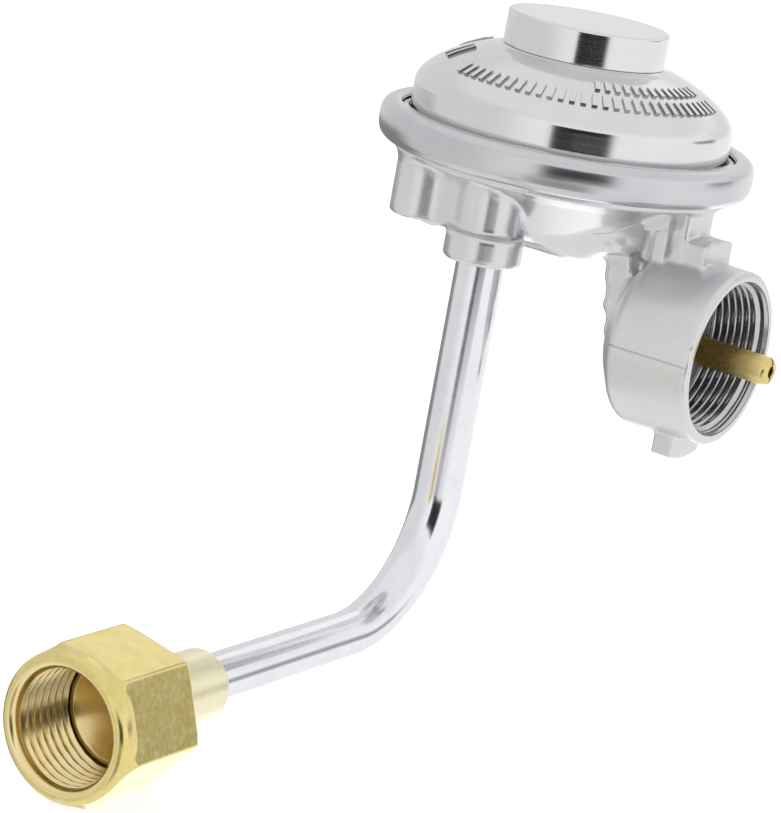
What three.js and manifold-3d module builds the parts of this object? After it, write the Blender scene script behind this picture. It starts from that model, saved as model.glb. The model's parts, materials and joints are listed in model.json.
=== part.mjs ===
// A low-pressure gas regulator for a small disposable cylinder, in millimetres with +Z up.
// A screwed collar (+X) takes the cylinder, a rubber diaphragm under a round bonnet sets the
// pressure, and a bent outlet tube ends in a swivel nut that opens towards -Y.
// The origin is the centre of the flat cap top. Inside this file heights are counted from the
// clamp plane, where the rim of the diaphragm is gripped, CAP_TOP below that origin.
import * as THREE from "three";
import { mergeVertices } from "three/addons/utils/BufferGeometryUtils.js";
import Module from "manifold-3d";

const wasm = await Module();
wasm.setup();

// Driving dimensions: the head, from the cap down to the bottom of the casting.
const CAP_TOP = 21.1;
const CAP_BASE = 15.4;
const CAP_R = 13.45;
const TOWER_R = 12.1;
const TOWER_BORE_R = 9.4;
const SHOULDER_Z = 7.5;
const BONNET_R = 26.6;
const CLAMP_R = 30.1;
const RING_R = 31.35;
const RING_TOP = 3.2;
const RING_BOTTOM = -3.1;
const FLANGE_R = 28.4;
const FLANGE_BOTTOM = -4.3;
const BOWL_BOTTOM = -14;
const SUMP_BOTTOM = -17;

// The inlet collar lies along +X. It takes a 1 inch 20 thread, so its bore is the mean thread size.
const INLET_Z = -26.4;
const COLLAR_REAR_X = 22.4;
const COLLAR_MOUTH_X = 37;
const COLLAR_REAR_R = 14.8;
const COLLAR_MOUTH_R = 14.5;
const COLLAR_BORE_R = 12.35;
const COLLAR_CHAMFER_R = 13;
const COLLAR_FLOOR_X = 25;
const LUG_R = 18.2;
const PROBE_R = 2.38;
const PROBE_TIP_X = 44.7;
const NOZZLE_X = 20.6;

// The outlet tube hangs from a socket, turns through a right angle and runs out along -Y.
const OUTLET_Y = -20.75;
const SOCKET_BOTTOM = -17.9;
const TUBE_R = 3.97;
const TUBE_WALL = 0.9;
const TUBE_TOP = -13;
const BEND_START_Z = -56.9;
const BEND_R = 21.95;
const TUBE_AXIS_Z = BEND_START_Z - BEND_R;
const NUT_REAR_Y = -96;
const NUT_LENGTH = 17.7;
const NUT_MOUTH_Y = NUT_REAR_Y - NUT_LENGTH;
const HEX_CORNER_R = 12.25;
const HEX_TURN = THREE.MathUtils.degToRad(-20.7);
const NUT_BORE_R = 8.8;
const SLEEVE_R = 5.6;
const SLEEVE_END_Y = -80.4;
const SEAT_RIM_Y = NUT_MOUTH_Y + 12.3;

// The valve lever rocks on a pin between the diaphragm stem (on the main axis) and the nozzle.
const PIVOT_X = 14.6;
const PIVOT_Z = -7.4;
const NOZZLE_LIP_Z = -8.6;

const COARSE = 16;
const MEDIUM = 28;
const FINE = 40;

// ---- shapes ----

// A closed three.js geometry as a solid. Triangles that collapse on a lathe's axis are dropped,
// and a surface that was swept inside out is turned round.
function solidOf(geometry) {
  const bare = geometry.clone();
  bare.deleteAttribute("normal");
  bare.deleteAttribute("uv");
  const merged = mergeVertices(bare, 1e-3);
  const vertProperties = merged.attributes.position.array;
  const corner = (i) => new THREE.Vector3().fromArray(vertProperties, 3 * i);
  const triVerts = [];
  let volume = 0;
  for (let i = 0; i < merged.index.count; i += 3) {
    const [a, b, c] = merged.index.array.slice(i, i + 3);
    if (a === b || b === c || c === a) continue;
    triVerts.push(a, b, c);
    volume += corner(a).dot(corner(b).cross(corner(c)));
  }
  if (volume < 0) triVerts.reverse();
  const mesh = new wasm.Mesh({ numProp: 3, vertProperties, triVerts: new Uint32Array(triVerts) });
  return new wasm.Manifold(mesh);
}

const asSolid = (shape) => (shape.isBufferGeometry ? solidOf(shape) : shape);
const join = (...shapes) => shapes.map(asSolid).reduce((all, next) => all.add(next));
const cut = (base, ...tools) => tools.map(asSolid).reduce((left, tool) => left.subtract(tool), asSolid(base));
const common = (a, b) => asSolid(a).intersect(asSolid(b));

// A turned shape. The profile is a list of [radius, distance along the axis].
const TO_AXIS = {
  x: (g) => g.rotateZ(-Math.PI / 2),
  y: (g) => g,
  z: (g) => g.rotateX(Math.PI / 2),
};

function turned(axis, profile, segments = MEDIUM) {
  const points = profile.map(([r, along]) => new THREE.Vector2(r, along));
  return TO_AXIS[axis](new THREE.LatheGeometry(points, segments));
}

// A turned hoop or tube, whose profile closes on itself.
const hoop = (axis, profile, segments) => turned(axis, [...profile, profile[0]], segments);

const disc = (axis, r, from, to, segments) =>
  turned(axis, [[0, from], [r, from], [r, to], [0, to]], segments);

const tubeOf = (axis, inner, outer, from, to, segments) =>
  hoop(axis, [[inner, from], [outer, from], [outer, to], [inner, to]], segments);

const post = (x, y, r, from, to, segments = COARSE) => disc("z", r, from, to, segments).translate(x, y, 0);

function box([x0, x1], [y0, y1], [z0, z1]) {
  const made = new THREE.BoxGeometry(x1 - x0, y1 - y0, z1 - z0);
  return made.translate((x0 + x1) / 2, (y0 + y1) / 2, (z0 + z1) / 2);
}

// A flat plate drawn in the XZ plane and thickened along Y.
function plateXZ(points, from, to) {
  const outline = new THREE.Shape(points.map(([x, z]) => new THREE.Vector2(x, z)));
  const made = new THREE.ExtrudeGeometry(outline, { depth: to - from, bevelEnabled: false });
  return made.rotateX(Math.PI / 2).translate(0, to, 0);
}

// A vertical wall of the given thickness between two upright axes.
function wallBetween([xa, ya], [xb, yb], thickness, from, to) {
  const length = Math.hypot(xb - xa, yb - ya);
  const made = new THREE.BoxGeometry(length, thickness, to - from);
  made.rotateZ(Math.atan2(yb - ya, xb - xa));
  return made.translate((xa + xb) / 2, (ya + yb) / 2, (from + to) / 2);
}

// A round section swept along a curve that spaces its own points.
function swept(curve, radius, bore, around) {
  const section = new THREE.Shape().absarc(0, 0, radius, 0, 2 * Math.PI, false);
  if (bore > 0) section.holes.push(new THREE.Path().absarc(0, 0, bore, 0, 2 * Math.PI, true));
  return new THREE.ExtrudeGeometry(section, {
    steps: curve.steps,
    extrudePath: curve,
    curveSegments: around,
  });
}

// The centre line of the outlet tube: a drop, a right-angle bend, and a run out along -Y.
class TubeLine extends THREE.Curve {
  steps = 14;
  getUtoTmapping(u) {
    return u;
  }
  getPoint(t, target = new THREE.Vector3()) {
    const place = t * this.steps;
    const bendSteps = this.steps - 2;
    const bendEndY = OUTLET_Y - BEND_R;
    const tubeEndY = NUT_REAR_Y + 2;
    if (place < 1) return target.set(0, OUTLET_Y, THREE.MathUtils.lerp(TUBE_TOP, BEND_START_Z, place));
    if (place > this.steps - 1) {
      const along = place - this.steps + 1;
      return target.set(0, THREE.MathUtils.lerp(bendEndY, tubeEndY, along), TUBE_AXIS_Z);
    }
    const angle = ((place - 1) / bendSteps) * (Math.PI / 2);
    return target.set(0, bendEndY + BEND_R * Math.cos(angle), BEND_START_Z - BEND_R * Math.sin(angle));
  }
}

// The centre line of the main spring.
class SpringLine extends THREE.Curve {
  constructor(radius, bottom, top, coils) {
    super();
    Object.assign(this, { radius, bottom, top, coils, steps: coils * 10 });
  }
  getUtoTmapping(u) {
    return u;
  }
  getPoint(t, target = new THREE.Vector3()) {
    const angle = t * this.coils * 2 * Math.PI;
    const z = THREE.MathUtils.lerp(this.bottom, this.top, t);
    return target.set(this.radius * Math.cos(angle), this.radius * Math.sin(angle), z);
  }
}

// ---- body casting ----

// An ear on the collar: a block that follows a circle about the inlet axis.
function collarLug(x, y, z) {
  return common(box(x, y, z), disc("x", LUG_R, x[0], x[1], FINE).translate(0, 0, INLET_Z));
}

// The head's underside: a bowl that slopes in from the flange, with a rounded trough under it
// that runs along X.
function bodyOutside() {
  const clampFlange = disc("z", CLAMP_R, -2.1, -0.15, FINE);
  const bowl = turned("z", [
    [0, BOWL_BOTTOM],
    [12, BOWL_BOTTOM],
    [24, -5.4],
    [25.5, -4.8],
    [FLANGE_R, FLANGE_BOTTOM],
    [FLANGE_R, -1],
    [0, -1],
  ], FINE);
  const troughSection = [[0, SUMP_BOTTOM], [6, SUMP_BOTTOM], [8, -15.9], [9.3, -13.5], [0, -13.5]];
  const troughEnd = (x) => solidOf(turned("z", troughSection).translate(x, 0, 0));
  const trough = wasm.Manifold.hull([troughEnd(-2), troughEnd(5)]);
  return join(clampFlange, bowl, trough);
}

function outletBosses() {
  const outlet = [0, OUTLET_Y];
  const screwBoss = [-13.8, -18.8];
  const blockTop = -3;
  const block = [BOWL_BOTTOM, blockTop];
  return join(
    post(...screwBoss, 5.4, ...block, MEDIUM),
    post(...outlet, 4.6, ...block, MEDIUM),
    wallBetween([-12.9, -17.6], [-0.4, -22.2], 6, ...block),
    wallBetween(screwBoss, [0, 0], 8, ...block),
    wallBetween(outlet, [0, 0], 7, ...block),
    post(...outlet, 6.4, SOCKET_BOTTOM, BOWL_BOTTOM + 0.1, MEDIUM),
  );
}

// The arm from the bowl to the neck over the inlet, the small lug and pillar on the neck's side,
// and the web that runs down behind the collar.
function inletArm() {
  const armEnd = [16, -4];
  const armHeight = [BOWL_BOTTOM + 0.3, -6];
  const web = [
    [14.3, -12],
    [15.1, -22],
    [17.5, -30],
    [COLLAR_REAR_X + 1, -32],
    [COLLAR_REAR_X + 1, -24],
    [19, -20.5],
    [18.4, -12],
  ];
  const neck = post(23, 0, 5.3, -13, -3, MEDIUM);
  const lug = plateXZ([[20.5, -3], [20.6, -6], [21.3, -8.5], [26.6, -7.2], [26.6, -3]], -8.2, -5);
  const pillar = box([22.6, 25.6], [-6.6, -4], [-13.6, -7.5]);
  const rib = box([15.6, 24], [-2.7, 2.7], [-29, -8]);
  return join(
    wallBetween([6, -4], armEnd, 9, ...armHeight),
    post(...armEnd, 4.5, ...armHeight, MEDIUM),
    plateXZ(web, -5, 5),
    neck,
    lug,
    pillar,
    rib,
  );
}

function collarOutside() {
  const wall = turned("x", [
    [0, 18.4],
    [8, 18.4],
    [9.5, 20.5],
    [COLLAR_REAR_R - 1, COLLAR_REAR_X],
    [COLLAR_REAR_R, COLLAR_REAR_X + 1],
    [COLLAR_MOUTH_R, COLLAR_MOUTH_X - 0.4],
    [COLLAR_MOUTH_R - 0.4, COLLAR_MOUTH_X],
    [0, COLLAR_MOUTH_X],
  ], FINE).translate(0, 0, INLET_Z);
  return join(
    wall,
    collarLug([25.2, 31], [-5, 4.8], [INLET_Z + 10, 0]),
    collarLug([28.8, 32.4], [-5, 5], [INLET_Z - 30, INLET_Z - 10]),
  );
}

// The chamber, the lever's slot and the gas passages. Gas comes in through the probe's bore,
// turns up into the nozzle, and leaves across the bowl to the outlet socket.
function bodyHollows() {
  const inletPassageR = 1.3;
  const outletPassageR = 2.1;
  const outletHeight = -8.6;
  const nozzleBoreR = 2.2;
  const nozzleSeat = -13.4;
  const chamber = turned("z", [
    [0, -15.2],
    [7.4, -15.2],
    [7.4, -12.3],
    [13.2, -12.3],
    [13.2, -4],
    [22.6, -3.2],
    [25.3, -0.9],
    [25.3, 1],
    [0, 1],
  ], FINE);
  const leverSlot = box([0, 24.4], [-4.1, 4.1], [-10.6, 0]);
  const pinSlot = box([PIVOT_X - 0.9, PIVOT_X + 0.9], [-6, 6], [PIVOT_Z - 0.9, 0]);
  const collarBore = turned("x", [
    [0, COLLAR_FLOOR_X],
    [COLLAR_BORE_R, COLLAR_FLOOR_X],
    [COLLAR_BORE_R, COLLAR_MOUTH_X - 0.7],
    [COLLAR_CHAMFER_R, COLLAR_MOUTH_X],
    [COLLAR_CHAMFER_R, COLLAR_MOUTH_X + 1],
    [0, COLLAR_MOUTH_X + 1],
  ], FINE).translate(0, 0, INLET_Z);
  return [
    chamber,
    leverSlot,
    pinSlot,
    collarBore,
    post(NOZZLE_X, 0, nozzleBoreR, nozzleSeat, -10),
    post(NOZZLE_X, 0, inletPassageR, INLET_Z, nozzleSeat + 0.4),
    disc("x", PROBE_R + 0.15, NOZZLE_X - 1, COLLAR_FLOOR_X + 1, COARSE).translate(0, 0, INLET_Z),
    disc("y", outletPassageR, OUTLET_Y, -10, COARSE).translate(0, 0, outletHeight),
    post(0, OUTLET_Y, outletPassageR, SOCKET_BOTTOM - 1, outletHeight),
    post(0, OUTLET_Y, TUBE_R + 0.2, SOCKET_BOTTOM - 1, TUBE_TOP + 0.2),
  ];
}

const body = () => cut(join(bodyOutside(), outletBosses(), inletArm(), collarOutside()), ...bodyHollows());

// ---- bonnet, ring and spring ----

// The bonnet's outer profile from the wall up to the foot of the tower.
const DOME = [
  [BONNET_R, SHOULDER_Z],
  [25.7, 9],
  [23.9, 10.7],
  [21.2, 12.4],
  [17.8, 14],
  [14.3, 15],
];

const VENT = [-6.5, 17.9];

function bonnet() {
  const wall = 1.8;
  const tower = 19.6;
  const inside = [...DOME].reverse().map(([r, z]) => [r - wall * 0.7, z - wall * 0.8]);
  const shell = hoop("z", [
    [BONNET_R - wall, 1],
    [CLAMP_R, 1],
    [CLAMP_R, 2.1],
    [BONNET_R, 2.2],
    ...DOME,
    [TOWER_R, CAP_BASE - 0.3],
    [TOWER_R, tower],
    [TOWER_BORE_R, tower],
    [TOWER_BORE_R, 13.4],
    ...inside.slice(1),
  ], FINE);
  const ventBoss = post(...VENT, 3.2, 9.7, 12.2);
  return cut(join(shell, ventBoss), post(...VENT, 2.1, 11.4, 20), post(...VENT, 1.1, 5, 20));
}

const ventScreen = () => post(...VENT, 1.9, 11.5, 12);

const bonnetCap = () =>
  turned("z", [
    [CAP_R, CAP_BASE],
    [CAP_R, CAP_TOP - 0.5],
    [CAP_R - 0.5, CAP_TOP],
    [0, CAP_TOP],
    [0, CAP_TOP - 1.2],
    [TOWER_R + 0.3, CAP_TOP - 1.2],
    [TOWER_R + 0.3, CAP_BASE],
    [CAP_R, CAP_BASE],
  ], FINE);

const crimpRing = () =>
  hoop("z", [
    [28.7, RING_BOTTOM],
    [30, RING_BOTTOM],
    [31, -2.3],
    [RING_R, -1],
    [RING_R, 1],
    [31, 2.4],
    [30, RING_TOP],
    [28, RING_TOP],
    [28, RING_TOP - 0.85],
    [30.3, RING_TOP - 0.85],
    [30.3, RING_BOTTOM + 0.85],
    [28.7, RING_BOTTOM + 0.85],
  ], FINE);

// The adjusting plug has a hexagon socket and turns in the tower above the spring.
const SCREW_BOTTOM = 15.5;
const SCREW_TOP = 18.5;

function adjustingScrew() {
  const plug = turned("z", [
    [0, SCREW_BOTTOM],
    [TOWER_BORE_R - 0.8, SCREW_BOTTOM],
    [TOWER_BORE_R - 0.3, SCREW_BOTTOM + 0.5],
    [TOWER_BORE_R - 0.3, SCREW_TOP - 0.5],
    [TOWER_BORE_R - 0.8, SCREW_TOP],
    [0, SCREW_TOP],
  ]);
  return cut(plug, post(0, 0, 4, SCREW_BOTTOM + 1, SCREW_TOP + 1, 6));
}

const springSeat = () =>
  turned("z", [[0, 13.7], [6, 13.7], [6, 14.3], [8.6, 14.3], [8.6, 15.3], [0, 15.3]]);

const SPRING_WIRE_R = 0.55;
const SPRING_R = 7.2;

function mainSpring() {
  const line = new SpringLine(SPRING_R, 1.9 + SPRING_WIRE_R, 14.2 - SPRING_WIRE_R, 6);
  return swept(line, SPRING_WIRE_R, 0, 3);
}

// ---- diaphragm assembly ----

// A thin sheet with one half-round fold between the clamped rim and the flat middle.
function diaphragm() {
  const thickness = 0.6;
  const fold = { centre: 20.8, r: 3, steps: 6 };
  const top = [[30, 0.75], [fold.centre + fold.r + 1, 0.75]];
  for (let i = 0; i <= fold.steps; i++) {
    const angle = (i / fold.steps) * Math.PI;
    top.push([fold.centre + fold.r * Math.cos(angle), 0.75 - fold.r * 0.8 * Math.sin(angle)]);
  }
  top.push([2.5, 0.75]);
  const bottom = top.map(([r, z]) => [r, z - thickness]).reverse();
  return hoop("z", [...top, ...bottom], MEDIUM);
}

const diaphragmPlate = () =>
  hoop("z", [[2.5, 0.9], [15.6, 0.9], [16.4, 1.4], [16.4, 2.6], [15.4, 2.6], [15.4, 1.7], [2.5, 1.7]]);

const backingWasher = () => tubeOf("z", 2.5, 9, -0.8, 0);

const STEM_R = 2.2;

function diaphragmStem() {
  const stem = disc("z", STEM_R, -5.2, 4.6, COARSE);
  const shoulder = disc("z", 4, -2, -0.95, COARSE);
  const stirrup = cut(box([-1.6, 1.6], [-4, 4], [-10.2, -5]), box([-3, 3], [-2.9, 2.9], [-8.7, -6.1]));
  return join(stem, shoulder, stirrup);
}

const stemNut = () => cut(post(0, 0, 4.4, 1.85, 4, 6), post(0, 0, STEM_R + 0.2, 1, 5));

// ---- valve ----

function lever() {
  const hub = disc("y", 1.9, -2.5, 2.5, COARSE).translate(PIVOT_X, 0, PIVOT_Z);
  const longArm = box([-2.2, PIVOT_X], [-2.2, 2.2], [PIVOT_Z - 0.6, PIVOT_Z + 0.6]);
  const shortArm = box([PIVOT_X, NOZZLE_X + 2.2], [-2.2, 2.2], [PIVOT_Z - 0.3, PIVOT_Z + 0.9]);
  const pinHole = disc("y", 0.85, -4, 4, COARSE).translate(PIVOT_X, 0, PIVOT_Z);
  return cut(join(hub, longArm, shortArm), pinHole);
}

const leverPin = () => disc("y", 0.75, -5.8, 5.8, COARSE).translate(PIVOT_X, 0, PIVOT_Z);

const seatPad = () => post(NOZZLE_X, 0, 1.9, PIVOT_Z - 0.8, PIVOT_Z - 0.35);

const inletNozzle = () =>
  hoop("z", [
    [0.9, -13.2],
    [2, -13.2],
    [2, -10.4],
    [3.2, -10.4],
    [3.2, -9.6],
    [1.5, NOZZLE_LIP_Z],
    [0.9, NOZZLE_LIP_Z],
  ], COARSE).translate(NOZZLE_X, 0, 0);

// ---- inlet ----

function probe() {
  const bore = 1.1;
  const rearX = 21.9;
  return hoop("x", [
    [bore, rearX],
    [PROBE_R, rearX],
    [PROBE_R, PROBE_TIP_X - 1.2],
    [PROBE_R - 0.5, PROBE_TIP_X - 0.4],
    [bore + 0.3, PROBE_TIP_X],
    [bore, PROBE_TIP_X - 0.3],
  ], COARSE).translate(0, 0, INLET_Z);
}

const inletGasket = () =>
  tubeOf("x", PROBE_R + 0.3, 7.5, COLLAR_FLOOR_X + 0.1, COLLAR_FLOOR_X + 2, MEDIUM).translate(0, 0, INLET_Z);

const inletFilter = () => disc("x", 1.2, NOZZLE_X - 0.1, NOZZLE_X + 0.9, COARSE).translate(0, 0, INLET_Z);

// ---- outlet ----

const outletTube = () => swept(new TubeLine(), TUBE_R, TUBE_R - TUBE_WALL, 10);

function tubeSeal() {
  const gap = 0.02;
  const thickness = 0.15;
  const seal = tubeOf("z", 2.6, TUBE_R, TUBE_TOP + gap, TUBE_TOP + gap + thickness, COARSE);
  return seal.translate(0, OUTLET_Y, 0);
}

function tailpiece() {
  const flangeY = SEAT_RIM_Y + 2.9;
  const seatBoreR = 2.8;
  const seatRimR = 7.6;
  const seatEndY = SEAT_RIM_Y + seatRimR - seatBoreR;
  const socketY = NUT_REAR_Y + 1.8;
  return hoop("y", [
    [5, SLEEVE_END_Y],
    [SLEEVE_R, SLEEVE_END_Y - 0.7],
    [SLEEVE_R, flangeY],
    [8.3, flangeY],
    [8.3, SEAT_RIM_Y],
    [seatRimR, SEAT_RIM_Y],
    [seatBoreR, seatEndY],
    [seatBoreR, socketY],
    [TUBE_R + 0.2, socketY],
    [TUBE_R + 0.2, SLEEVE_END_Y],
  ]).translate(0, 0, TUBE_AXIS_Z);
}

// The nut's outside is a hexagon, turned down at the mouth to a round lip. The bore has a wall at
// the rear that holds the tailpiece's flange, and a plain counterbore ahead of the thread.
function swivelNut() {
  const chamferStart = NUT_REAR_Y - 15;
  const lipR = 10.65;
  const rearR = 11.4;
  const clearR = HEX_CORNER_R + 0.1;
  const rearWall = 2.2;
  const counterbore = { r: 9.8, floor: 9.6, depth: 1.4 };
  const hexagon = new THREE.CylinderGeometry(HEX_CORNER_R, HEX_CORNER_R, NUT_LENGTH, 6);
  hexagon.rotateY(HEX_TURN).translate(0, (NUT_REAR_Y + NUT_MOUTH_Y) / 2, 0);
  const chamfers = turned("y", [
    [0, NUT_REAR_Y],
    [rearR, NUT_REAR_Y],
    [clearR, NUT_REAR_Y - 0.6],
    [clearR, chamferStart],
    [lipR, NUT_MOUTH_Y],
    [0, NUT_MOUTH_Y],
  ], FINE);
  const bore = turned("y", [
    [0, NUT_REAR_Y + 1],
    [SLEEVE_R + 0.3, NUT_REAR_Y + 1],
    [SLEEVE_R + 0.3, NUT_REAR_Y - rearWall],
    [NUT_BORE_R, NUT_REAR_Y - rearWall],
    [NUT_BORE_R, NUT_MOUTH_Y + counterbore.depth + 0.2],
    [counterbore.floor, NUT_MOUTH_Y + counterbore.depth],
    [counterbore.r, NUT_MOUTH_Y],
    [counterbore.r, NUT_MOUTH_Y - 1],
    [0, NUT_MOUTH_Y - 1],
  ], FINE);
  return cut(common(hexagon, chamfers), bore).translate([0, 0, TUBE_AXIS_Z]);
}

// ---- assembly ----

const material = (color, roughness, metalness) => () =>
  new THREE.MeshStandardMaterial({ color, roughness, metalness });

const castAlloy = material(0xc9cacc, 0.38, 1);
const polished = material(0xdedfe0, 0.16, 1);
const satinRing = material(0xa7a9ac, 0.34, 1);
const plated = material(0xd5d8de, 0.14, 1);
const brass = material(0xd9bf5a, 0.24, 1);
const goldBrass = material(0xb8903a, 0.3, 1);
const steel = material(0x9a9b9d, 0.35, 1);
const rubber = material(0x1d1d1e, 0.8, 0);
const filterBronze = material(0x8f7440, 0.6, 1);

function piece(name, shape, finish) {
  const { vertProperties, triVerts } = asSolid(shape).getMesh();
  const geometry = new THREE.BufferGeometry();
  geometry.setAttribute("position", new THREE.BufferAttribute(vertProperties, 3));
  geometry.setIndex(new THREE.BufferAttribute(triVerts, 1));
  geometry.computeVertexNormals();
  const mesh = new THREE.Mesh(geometry, finish());
  mesh.name = name;
  return mesh;
}

function group(...children) {
  const made = new THREE.Group();
  made.add(...children);
  return made;
}

const casing = group(
  piece("body", body(), castAlloy),
  piece("crimp_ring", crimpRing(), satinRing),
  piece("bonnet", bonnet(), polished),
  piece("bonnet_cap", bonnetCap(), polished),
  piece("vent_screen", ventScreen(), filterBronze),
);

const pressureSetting = group(
  piece("adjusting_screw", adjustingScrew(), steel),
  piece("spring_seat", springSeat(), steel),
  piece("main_spring", mainSpring(), steel),
);

const diaphragmAssembly = group(
  piece("diaphragm", diaphragm(), rubber),
  piece("diaphragm_plate", diaphragmPlate(), steel),
  piece("backing_washer", backingWasher(), steel),
  piece("diaphragm_stem", diaphragmStem(), goldBrass),
  piece("stem_nut", stemNut(), steel),
);

const valve = group(
  piece("valve_lever", lever(), steel),
  piece("lever_pin", leverPin(), steel),
  piece("seat_pad", seatPad(), rubber),
  piece("inlet_nozzle", inletNozzle(), goldBrass),
);

const inlet = group(
  piece("inlet_probe", probe(), goldBrass),
  piece("inlet_gasket", inletGasket(), rubber),
  piece("inlet_filter", inletFilter(), filterBronze),
);

const outlet = group(
  piece("outlet_tube", outletTube(), plated),
  piece("tube_seal", tubeSeal(), rubber),
  piece("tailpiece", tailpiece(), brass),
  piece("swivel_nut", swivelNut(), brass),
);

const regulator = group(casing, pressureSetting, diaphragmAssembly, valve, inlet, outlet);
regulator.position.z = -CAP_TOP;

export default group(regulator);
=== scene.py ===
import json
import math

import bpy
import numpy as np
from mathutils import Matrix, Vector


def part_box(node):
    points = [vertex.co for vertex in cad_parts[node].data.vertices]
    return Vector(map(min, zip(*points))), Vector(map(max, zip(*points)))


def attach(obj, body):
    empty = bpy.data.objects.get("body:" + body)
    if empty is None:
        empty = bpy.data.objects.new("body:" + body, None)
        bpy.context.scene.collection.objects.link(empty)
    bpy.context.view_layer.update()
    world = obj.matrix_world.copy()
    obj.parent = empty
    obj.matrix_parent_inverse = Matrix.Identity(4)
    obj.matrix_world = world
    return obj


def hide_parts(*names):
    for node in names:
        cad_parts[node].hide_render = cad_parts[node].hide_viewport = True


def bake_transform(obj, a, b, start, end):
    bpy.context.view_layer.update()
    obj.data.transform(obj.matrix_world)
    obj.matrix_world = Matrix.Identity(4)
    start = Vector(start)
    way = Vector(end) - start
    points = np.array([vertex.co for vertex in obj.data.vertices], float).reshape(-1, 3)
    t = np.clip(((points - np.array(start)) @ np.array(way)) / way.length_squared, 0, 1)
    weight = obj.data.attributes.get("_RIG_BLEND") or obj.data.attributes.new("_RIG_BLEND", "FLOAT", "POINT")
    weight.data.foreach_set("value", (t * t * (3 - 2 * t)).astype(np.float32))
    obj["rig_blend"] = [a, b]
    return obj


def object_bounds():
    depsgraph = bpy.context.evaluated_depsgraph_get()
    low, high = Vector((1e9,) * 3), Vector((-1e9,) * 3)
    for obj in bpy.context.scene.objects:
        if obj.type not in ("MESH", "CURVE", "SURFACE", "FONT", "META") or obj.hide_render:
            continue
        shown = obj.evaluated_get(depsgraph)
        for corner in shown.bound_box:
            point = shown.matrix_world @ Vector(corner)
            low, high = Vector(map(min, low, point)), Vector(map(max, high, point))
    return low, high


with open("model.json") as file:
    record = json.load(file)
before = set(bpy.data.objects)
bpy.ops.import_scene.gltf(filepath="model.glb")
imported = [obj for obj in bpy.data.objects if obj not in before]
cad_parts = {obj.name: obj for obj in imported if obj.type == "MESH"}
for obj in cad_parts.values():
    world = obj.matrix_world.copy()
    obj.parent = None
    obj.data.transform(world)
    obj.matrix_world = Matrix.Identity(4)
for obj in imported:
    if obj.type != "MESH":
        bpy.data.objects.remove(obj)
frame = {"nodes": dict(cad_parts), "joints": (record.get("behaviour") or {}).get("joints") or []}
cad_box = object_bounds()

# Shapes are worked out in millimetres, with heights counted from the clamp plane, where the rim
# of the diaphragm is gripped. Azimuths are in degrees from -Y towards +X.
MM = 0.001


def extent(node):
    """The lowest and highest corners of a CAD node, in millimetres."""
    low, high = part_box(node)
    return np.array(low) / MM, np.array(high) / MM


def joint_place(name):
    """Where a hinge's axis passes, in millimetres."""
    joint = next(j for j in frame["joints"] if j["name"] == name)
    return np.array(joint["pos_m"]) / MM


ring_low, ring_high = extent("crimp_ring")
cap_low, cap_high = extent("bonnet_cap")
body_low, body_high = extent("body")
probe_low, probe_high = extent("inlet_probe")
gasket_low, gasket_high = extent("inlet_gasket")
seal_low, seal_high = extent("tube_seal")
tube_low, tube_high = extent("outlet_tube")
nut_low, nut_high = extent("swivel_nut")
sleeve_low, sleeve_high = extent("tailpiece")
_, sheet_high = extent("diaphragm")
coil_low, coil_high = extent("main_spring")

RING_HANG = 3.1  # how far the crimp ring reaches below the clamp plane
CLAMP_Z = ring_low[2] + RING_HANG

# The head, from the cap down to the bottom of the casting.
CAP_R = cap_high[0]
CAP_TOP = cap_high[2] - CLAMP_Z
CAP_BASE = cap_low[2] - CLAMP_Z
TOWER_R = CAP_R - 1.35
TOWER_BORE_R = 9.4
BONNET_R = 26.6
SHOULDER_Z = 7.5
CLAMP_R = 30.1
RING_R = ring_high[0]
RING_TOP = ring_high[2] - CLAMP_Z
RING_BOTTOM = -RING_HANG
FLANGE_R = 28.4
FLANGE_BOTTOM = -4.3
BOWL_BOTTOM = -14.0
SUMP_BOTTOM = -16.95

# The inlet collar, along +X.
INLET_Z = (probe_low[2] + probe_high[2]) / 2 - CLAMP_Z
MOUTH_X = body_high[0]
COLLAR_R = 14.8
COLLAR_FLOOR_X = gasket_low[0] - 0.1
LUG_R = 18.2
PROBE_R = probe_high[1]
PROBE_TIP_X = probe_high[0]
PROBE_REAR_X = probe_low[0]
INLET_MAJOR_R = 12.7
INLET_MINOR_R = 12.03
INLET_PITCH = 1.27

# The outlet, which drops along -Z, turns and runs out along -Y.
OUTLET_Y = (seal_low[1] + seal_high[1]) / 2
TUBE_R = tube_high[0]
TUBE_WALL = 0.9
TUBE_TOP = tube_high[2] - CLAMP_Z
TUBE_AXIS_Z = joint_place("nut_spin")[2] - CLAMP_Z
TUBE_END_Y = tube_low[1]
BEND_R = 21.95
SOCKET_BOTTOM = -17.9
NUT_REAR_Y = nut_high[1]
NUT_MOUTH_Y = nut_low[1]
NUT_MAJOR_R = 9.5
NUT_MINOR_R = 8.67
NUT_PITCH = 25.4 / 16
HEX_CORNER_R = 12.25
HEX_FLAT_ANGLE = math.radians(20.7)
SLEEVE_R = 5.6
SLEEVE_END_Y = sleeve_high[1]
SEAT_RIM_Y = sleeve_low[1]

# The valve, where the lever rocks on its pin.
PIVOT_X, _, PIVOT_Z = joint_place("lever_rock") - [0, 0, CLAMP_Z]
NOZZLE_X = 20.6

# ---- meshes ----


def unit(v):
    return v / np.linalg.norm(v)


def facing_out(vertices, faces):
    """The same closed mesh of triangles and quads with its faces turned outwards."""
    volume = 0.0
    for face in faces:
        a, b, c = (vertices[i] for i in face[:3])
        volume += np.dot(a, np.cross(b, c))
        if len(face) == 4:
            volume += np.dot(a, np.cross(c, vertices[face[3]]))
    if volume < 0:
        faces = [tuple(reversed(face)) for face in faces]
    return vertices, faces


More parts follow.
